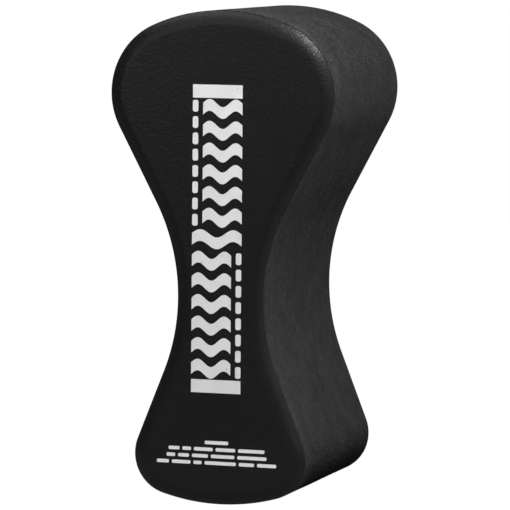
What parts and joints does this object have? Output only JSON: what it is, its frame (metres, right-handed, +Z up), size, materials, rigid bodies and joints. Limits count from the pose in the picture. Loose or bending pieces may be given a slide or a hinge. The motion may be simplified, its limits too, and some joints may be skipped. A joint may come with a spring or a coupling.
{
  "type": "pull buoy",
  "caption": "Hourglass foam pull buoy with rounded edges, bonded from foam layers, with a printed wave graphic on its front face.",
  "frame": {"origin": "centre of the foam block", "axes": "+Z up the length towards the large lobe, +X across the width, the printed front faces -Y and the plain rear faces +Y"},
  "size_m": [0.1134, 0.1161, 0.24],
  "materials": {
    "foam_skin": "satin",
    "foam_cut": "matte",
    "adhesive": "satin",
    "ink_grey": "matte",
    "ink_white": "matte"
  },
  "bodies": {
    "root": {"front_foam_panel": "foam_skin", "front_glue_film": "adhesive", "core_foam_block": "foam_cut", "rear_glue_film": "adhesive", "rear_foam_panel": "foam_skin", "printed_graphic": "ink_grey", "printed_notice": "ink_white"}
  },
  "joints": []
}
